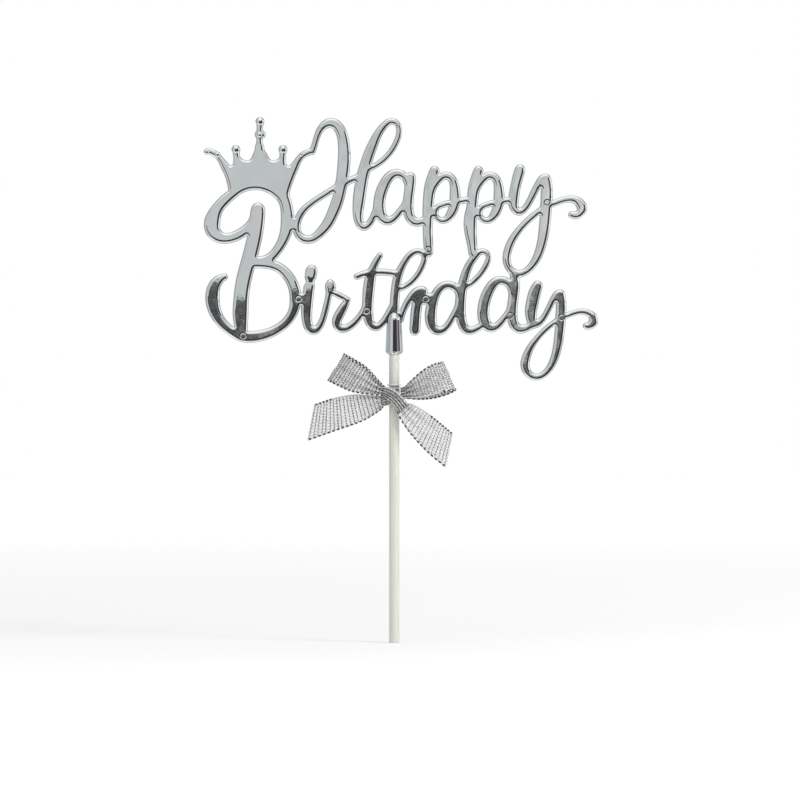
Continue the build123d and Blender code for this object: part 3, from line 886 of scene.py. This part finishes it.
class Stretch:
    """One stretch of the ribbon: a surface by its place along and across."""

    def __init__(self, rows, pleats, phase):
        x, z, low_x, low_z, y = np.array(rows, float).T
        self.upper, self.lower = np.column_stack([x, y, z]), np.column_stack([low_x, y, low_z])
        self.pleats, self.phase = pleats, phase
        at = np.linspace(0.0, 1.0, run_samples)
        middle = (through(self.upper, at) + through(self.lower, at)) / 2
        steps = np.linalg.norm(np.diff(middle, axis=0), axis=1)
        self.at, self.run = at, np.concatenate([[0.0], np.cumsum(steps)])
        self.length = float(self.run[-1])

    def plain(self, u, v):
        at = np.interp(u, self.run, self.at)
        upper, lower = through(self.upper, at), through(self.lower, at)
        return upper + (lower - upper) * v[:, None]

    def plain_normal(self, u, v):
        du, dv = plain_step
        along = self.plain(np.minimum(u + du, self.length), v)
        along -= self.plain(np.maximum(u - du, 0.0), v)
        return unit(np.cross(along, self.plain(u, v + dv) - self.plain(u, v - dv)))

    def place(self, u, v):
        """Points at u along and v across, from 0 at the upper selvedge to 1 at the lower."""
        at = np.interp(u, self.run, self.at)
        wide = np.linalg.norm(through(self.lower, at) - through(self.upper, at), axis=1)
        fold = np.clip(1.0 - wide / ribbon_width, 0.0, 1.0) ** fold_power
        wave = np.cos(tau * self.pleats * v + self.phase) * fold * pleat_depth
        wave += sway_depth * np.cos(tau * sway_turns * v + sway_rate * u + self.phase)
        return self.plain(u, v) + self.plain_normal(u, v) * wave[:, None]

    def frame(self, u, v):
        """Points, and the directions along, across and out of the ribbon there."""
        du, dv = frame_step
        u, v = np.broadcast_arrays(u, v)
        along = self.place(np.minimum(u + du, self.length), v)
        along = unit(along - self.place(np.maximum(u - du, 0.0), v))
        across = self.place(u, np.minimum(v + dv, 1.0)) - self.place(u, np.maximum(v - dv, 0.0))
        normal = unit(np.cross(along, across))
        return self.place(u, v), along, np.cross(normal, along), normal


def thread(made, path, wide, thick, half_wide, half_thick, sides, slot):
    """A thread of oval section along a path, with its ends closed."""
    half_wide = np.broadcast_to(half_wide, len(path))[:, None]
    half_thick = np.broadcast_to(half_thick, len(path))[:, None]
    points, normals = [], []
    for turn in np.linspace(0.0, tau, sides, endpoint=False):
        across, out = wide * cos(turn), thick * sin(turn)
        points.append(path + across * half_wide + out * half_thick)
        normals.append(across / half_wide + out / half_thick)
    points, normals = (np.stack(rows, axis=1).reshape(-1, 3) for rows in (points, normals))
    rows = len(path)
    faces = grid_faces(rows, sides, closed=True)
    faces += [range(sides)[::-1], range((rows - 1) * sides, rows * sides)]
    if np.dot(np.cross(thick[0], path[1] - path[0]), wide[0]) < 0:
        faces = flipped(faces)
    made.add(points, normals, faces, slot)


def cloth_patch(made, stretch, columns):
    rows = max(least_rows, int(stretch.length / cloth_step))
    u, v = np.meshgrid(
        np.linspace(0.0, stretch.length, rows), np.linspace(0.0, 1.0, columns), indexing="ij"
    )
    points, _, _, normals = stretch.frame(u.ravel(), v.ravel())
    made.add(points, normals, flipped(grid_faces(rows, columns)))


def yarn_patch(made, stretch, weave):
    """Grey metal wefts that show as dashes, and bright warps along the ribbon."""
    weft_pitch, weft_half, warp_pitch, warp_half = weave
    wefts = int(stretch.length / weft_pitch)
    warps = round(ribbon_width / warp_pitch)
    chance = np.random.default_rng(int(stretch.length * 100))
    for weft in range(wefts):
        v = np.linspace(weft_margin, 1.0 - weft_margin, warps * weft_samples + 1)
        at = (weft + 0.5 + chance.normal(0.0, weft_stray)) * stretch.length / wefts
        points, along, _, normals = stretch.frame(at, v)
        drift = chance.uniform(-weft_drift, weft_drift)
        turn = tau * (v * warps + drift) + pi * weft
        path = points + normals * (weft_rise + weft_sway * np.cos(turn))[:, None]
        half = weft_half * chance.uniform(*yarn_spread)
        thread(made, path, along, normals, half, weft_thick, yarn_sides, grey_yarn)
    for warp in range(1, warps):
        u = np.linspace(0.0, stretch.length, wefts * warp_samples + 1)
        v = (warp + chance.normal(0.0, warp_stray)) / warps
        points, _, across, normals = stretch.frame(u, v)
        turn = pi * (u / stretch.length * wefts + warp)
        path = points + normals * (warp_sway * np.cos(turn))[:, None]
        half = warp_half * chance.uniform(*yarn_spread)
        slot = bright_yarn if chance.random() < bright_share else fine_yarn
        thread(made, path, across, normals, half, warp_thick, yarn_sides, slot)


def selvedge_patch(made, stretch, plain):
    """Dark stitches with bright ones between them; plain is the share of each edge without."""
    for edge, share in zip((0.0, 1.0), plain):
        start = share * stretch.length
        if share > 0.0:
            u = np.linspace(0.0, start, max(least_cord_points, int(start / cord_step)))
            points, _, across, normals = stretch.frame(u, edge)
            thread(made, points, across, normals, *cord_halves, cord_sides, plain_cord)
        count = max(1, round((stretch.length - start) / stitch_pitch))
        pitch = (stretch.length - start) / count
        step = np.linspace(-1.0, 1.0, stitch_points)
        for stitch in range(count):
            for slot, begin, finish, half in stitch_kinds:
                middle = start + (stitch + (begin + finish) / 2) * pitch
                u = middle + step * (finish - begin) / 2 * pitch
                u = np.clip(u, 0.0, stretch.length)
                if u[-1] - u[0] < least_stitch:
                    continue
                points, _, across, normals = stretch.frame(u, edge)
                swell = half * np.sqrt(1.0 - stitch_taper * step**2)
                thread(made, points, across, normals, swell, stitch_flat * swell, cord_sides, slot)


def woven(name, stretches, weave, plain=None, columns=ribbon_columns):
    """The ribbon's ground cloth, its yarns and its selvedges, for one node of the bow."""
    cloth, yarns, cords = Mesh(), Mesh(), Mesh()
    for stretch in stretches:
        cloth_patch(cloth, stretch, columns)
        yarn_patch(yarns, stretch, weave)
        if plain:
            selvedge_patch(cords, stretch, plain)
    cloth = cloth.build(f"{name}_cloth", [ground])
    extras = [yarns.build(f"{name}_yarns", [bright_thread, fine_thread, grey_thread])]
    if plain:
        extras.append(cords.build(f"{name}_selvedges", [dark_thread, bright_thread, fine_thread]))
    for made in (cloth, *extras):
        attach(made, "bow")
    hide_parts(name)


def bow():
    for name, rows, side, pleats, phase, weave, held, plain in bow_stretches:
        woven(name, [Stretch(bow_rows(rows, side), pleats, phase)], weave, plain)
    passes = [Stretch(rows, knot_pleats, phase) for rows, phase in knot_passes]
    woven("bow_gather", passes, knot_weave, columns=knot_columns)
    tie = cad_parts["bow_tie"]
    tie.data.materials.clear()
    tie.data.materials.append(wire)


lettering()
stick()
bow()

# The studio: a pale floor, soft lamps and a world of plain cards that the plating mirrors.

floor_reach = 3.0
floor_grey = (0.8,) * 3
# The floor's lift towards white: over which distance, and from and to what strength.
floor_far = 1.2
floor_lift = (0.05, 0.31)

no_change = (1.0,) * 3

# The lamps: name, place, size and power.
lamps = (
    ("key", (0.8, -0.5, 0.5), 0.5, 6.0),
    ("fill", (-0.5, -0.8, 0.6), 0.6, 1.2),
)
lamp_aim = (0.0, 0.0, 0.08)

# What the eye sees behind the part, what lights matt pieces, and the world between the cards.
backdrop = (1.0,) * 3
fill_light = (0.86,) * 3
open_world = (1.10,) * 3

# The height of the lower card's top edge over the azimuth, and what the curve spans of both.
edge_azimuth = 3.0
edge_height = 4.0
edge_soft = 0.03
low_edge = (
    (-3.0, 1.56), (-2.4, 1.54), (-2.1, 1.30), (-1.7, 1.28), (-1.3, 1.40),
    (-0.9, 1.40), (-0.55, 1.62), (-0.40, 1.98), (0.25, 2.00), (0.42, 1.80),
    (1.0, 1.78), (1.5, 1.60), (3.0, 1.60),
)

# The tones that the flat front mirrors, within this azimuth to both sides: the upper card's at
# shares of that span, the lower card's at azimuths.
front_azimuth = 2.6
upper_tones = (
    (0.0, (0.64, 0.65, 0.65)), (0.27, (0.61, 0.615, 0.615)),
    (0.58, (0.62, 0.625, 0.62)), (0.72, (0.68, 0.68, 0.675)),
)
lower_tones = (
    (-2.5, (0.100, 0.100, 0.103)), (-1.8, (0.105, 0.102, 0.100)),
    (-1.6, (0.195, 0.158, 0.134)), (-1.4, (0.095, 0.085, 0.080)),
    (-1.1, (0.095, 0.095, 0.093)), (-0.31, (0.088, 0.078, 0.076)), (0.2, 0.095),
    (0.9, 0.145), (1.22, (0.265, 0.270, 0.270)), (1.72, (0.200, 0.200, 0.196)),
    (1.95, (0.150, 0.150, 0.148)),
)

# The socket's stripes: from and to azimuth, and tone. Its wall is turned upwards by its draft, so
# they lie on a curved band of their own, between these heights above the curve.
socket_stripes = (
    (-19.0, 38.0, (0.045, 0.045, 0.047)),
    (38.0, 56.0, (0.34, 0.28, 0.31)),
    (56.0, 86.0, (0.11, 0.10, 0.105)),
)
socket_tilt = 4.86
band_low = 0.35
band_high = 1.30
band_soft = 0.15
stripe_soft = 1.5

# The slanted line between the grey and the dark card on the right.
slant = 0.46
slant_start = 2.6
slant_soft = 0.6

# The camera: its place and the width that it sees at the part.
camera_place = (0.0018, -1.4, 0.0752)
seen_width = 0.248
sensor_width = 36.0


def floor():
    mesh = bpy.data.meshes.new("floor")
    far = floor_reach
    corners = [(-far, -far, 0.0), (far, -far, 0.0), (far, far, 0.0), (-far, far, 0.0)]
    mesh.from_pydata(corners, [], [(0, 1, 2, 3)])
    made = placed("floor", mesh)
    paint, tree, _ = shader("floor_white")
    tree.nodes.clear()
    matt = node(tree, "BsdfDiffuse", floor_grey).outputs[0]
    place = node(tree, "TexCoord").outputs["Object"]
    away = node(tree, "VectorMath", place, operation="LENGTH").outputs["Value"]
    lift = mapped(tree, away, (0.0, floor_far), floor_lift)
    eye = node(tree, "LightPath").outputs["Is Camera Ray"]
    lift = node(tree, "Math", lift, eye, operation="MULTIPLY").outputs[0]
    glow = node(tree, "Emission", backdrop, lift).outputs[0]
    both = node(tree, "AddShader", matt, glow).outputs[0]
    node(tree, "OutputMaterial", both)
    mesh.materials.append(paint)
    made.visible_glossy = False


def lamp(name, place, size, power):
    data = bpy.data.lights.new(name, "AREA")
    data.shape = "DISK"
    data.size = size
    data.energy = power
    made = placed(name, data)
    made.location = place
    made.rotation_euler = (Vector(lamp_aim) - Vector(place)).to_track_quat("-Z", "Y").to_euler()
    made.visible_glossy = False
    made.visible_camera = False


def multiplied(tree, first, second):
    return mixed(tree, 1.0, first, second, "MULTIPLY")


def upper_grey(tree, share, azimuth, ways):
    """The upper card's grey, a little lighter and calmer towards the left, with a drift."""
    grey = colours(tree, share, upper_tones)
    drift = noise(tree, scale=120.0, detail=2.0, vector=ways)
    tint = colours(tree, drift, ((0.4, (0.97, 1.01, 0.99)), (0.6, (1.02, 0.99, 1.01))))
    streak = noise(tree, scale=420.0, detail=3.0, roughness=0.6, vector=ways)
    mottle = colours(tree, streak, ((0.34, 0.80), (0.5, 1.0), (0.66, 1.14)))
    lively = mapped(tree, azimuth, (-1.3, -0.4), smooth=True)
    return multiplied(tree, multiplied(tree, grey, tint), mixed(tree, lively, no_change, mottle))


def lower_dark(tree, share, ways):
    """The lower card: dark and speckled, brown in one place, paler towards the right."""
    span = 2 * front_azimuth
    stops = [((place + front_azimuth) / span, tone) for place, tone in lower_tones]
    speck = noise(tree, scale=1000.0, detail=3.0, roughness=0.65, vector=ways)
    grain = colours(tree, speck, ((0.36, 0.14), (0.5, 0.85), (0.64, 3.0)))
    return multiplied(tree, colours(tree, share, stops), grain)


def behind(tree, ways):
    """What the plate's back mirrors: soft grey with slow clouds."""
    cloud = noise(tree, scale=9.0, detail=1.0, roughness=0.5, vector=ways)
    return colours(tree, cloud, ((0.3, (0.38, 0.39, 0.40)), (0.7, (0.62, 0.63, 0.64))))


def low_card_edge(tree, azimuth):
    """The lower card's top edge, as a share of the curve's height."""
    made = node(tree, "FloatCurve")
    points = made.mapping.curves[0].points
    span = 2 * edge_azimuth
    spots = [((place + edge_azimuth) / span, rise / edge_height) for place, rise in low_edge]
    points[0].location, points[1].location = spots[0], spots[-1]
    for spot in spots[1:-1]:
        points.new(*spot)
    made.mapping.update()
    across = mapped(tree, azimuth, (-edge_azimuth, edge_azimuth))
    put(across, made.inputs["Value"])
    return made.outputs[0]


def studio():
    """A world that is white to the eye and a set of plain cards to the plating."""
    world = bpy.data.worlds.new("studio")
    bpy.context.scene.world = world
    world.use_nodes = True
    tree = world.node_tree
    tree.nodes.clear()
    ways = node(tree, "TexCoord").outputs["Generated"]
    right, deep, up = node(tree, "SeparateXYZ", ways).outputs

    def sums(kind, *values):
        return node(tree, "Math", *values, operation=kind).outputs[0]

    def above(value, edge, soft):
        return mapped(tree, value, (edge - soft, edge + soft), smooth=True)

    def below(value, edge, soft):
        return mapped(tree, value, (edge - soft, edge + soft), (1.0, 0.0), True)

    def times(first, *others):
        for other in others:
            first = sums("MULTIPLY", first, other)
        return first

    def between(value, low, high, soft):
        return times(above(value, low, soft), below(value, high, soft))

    def zone(start, end, low, high, soft=1.0):
        """A card between two azimuths and two heights."""
        return times(between(azimuth, start, end, soft), between(height, low, high, 1.0))

    azimuth = sums("DEGREES", sums("ARCTAN2", right, times(deep, -1.0)))
    height = sums("DEGREES", sums("ARCSINE", up))
    aside = sums("ABSOLUTE", azimuth)
    share = mapped(tree, azimuth, (-front_azimuth, front_azimuth))
    wedge = sums("SUBTRACT", height, times(azimuth, slant))
    low_top = times(low_card_edge(tree, azimuth), edge_height)
    under = below(sums("SUBTRACT", height, low_top), 0.0, edge_soft)
    table = times(above(aside, 58.0, 2.0), above(height, -34.0, 2.0), below(height, -7.0, 1.5))
    corners = times(above(aside, 46.0, 4.0), below(aside, 135.0, 8.0))
    corners = times(corners, above(height, 24.0, 3.0), below(height, 64.0, 5.0))
    grey_right = times(zone(3.0, 46.0, -2.0, 26.0), above(wedge, slant_start, slant_soft))
    dark_right = times(zone(3.2, 42.0, -40.0, 20.0, 0.5), below(wedge, slant_start, slant_soft))
    low_front = times(zone(-3.2, 3.2, -2.0, 9.0, 0.3), under, above(height, 0.0, 0.3))
    # The cards, each over those before it.
    cards = [
        (table, (0.52, 0.53, 0.54)),
        (corners, (0.42, 0.425, 0.43)),
        (zone(-116.0, -56.0, -34.0, 26.0, 3.0), (0.40, 0.405, 0.41)),
        (zone(-56.0, -3.0, -36.0, 26.0, 1.5), (0.64, 0.645, 0.65)),
        (grey_right, (0.60, 0.61, 0.61)),
        (dark_right, (0.075, 0.075, 0.077)),
        (zone(-3.4, 3.4, -2.0, 26.0, 0.2), upper_grey(tree, share, azimuth, ways)),
        (times(zone(-22.0, 49.0, -42.0, 9.0), under), (0.34, 0.34, 0.34)),
        (times(zone(-20.0, 45.0, -32.0, 9.0), under), (0.045, 0.045, 0.046)),
        (low_front, lower_dark(tree, share, ways)),
        (zone(-45.0, 45.0, -56.0, -46.0), (0.42, 0.42, 0.43)),
    ]
    bend = sums("COSINE", sums("RADIANS", times(azimuth, 0.5)))
    lift = sums("SUBTRACT", height, times(bend, socket_tilt))
    band = between(lift, band_low, band_high, band_soft)
    for start, end, tone in socket_stripes:
        cards.append((times(band, between(azimuth, start, end, stripe_soft)), tone))
    cards.append((above(deep, 0.12, 0.1), behind(tree, ways)))
    seen = open_world
    for mask, tone in cards:
        seen = mixed(tree, mask, seen, tone)

    path = node(tree, "LightPath")
    seen = mixed(tree, path.outputs["Is Glossy Ray"], fill_light, seen)
    seen = mixed(tree, path.outputs["Is Camera Ray"], seen, backdrop)
    node(tree, "OutputWorld", node(tree, "Background", seen).outputs[0])


def camera():
    data = bpy.data.cameras.new("camera")
    data.sensor_width = sensor_width
    data.lens = sensor_width * -camera_place[1] / seen_width
    made = placed("camera", data)
    made.location = camera_place
    made.rotation_euler = (radians(90.0), 0.0, 0.0)
    bpy.context.scene.camera = made


floor()
for row in lamps:
    lamp(*row)
studio()
camera()
bpy.context.scene.view_settings.view_transform = "Standard"
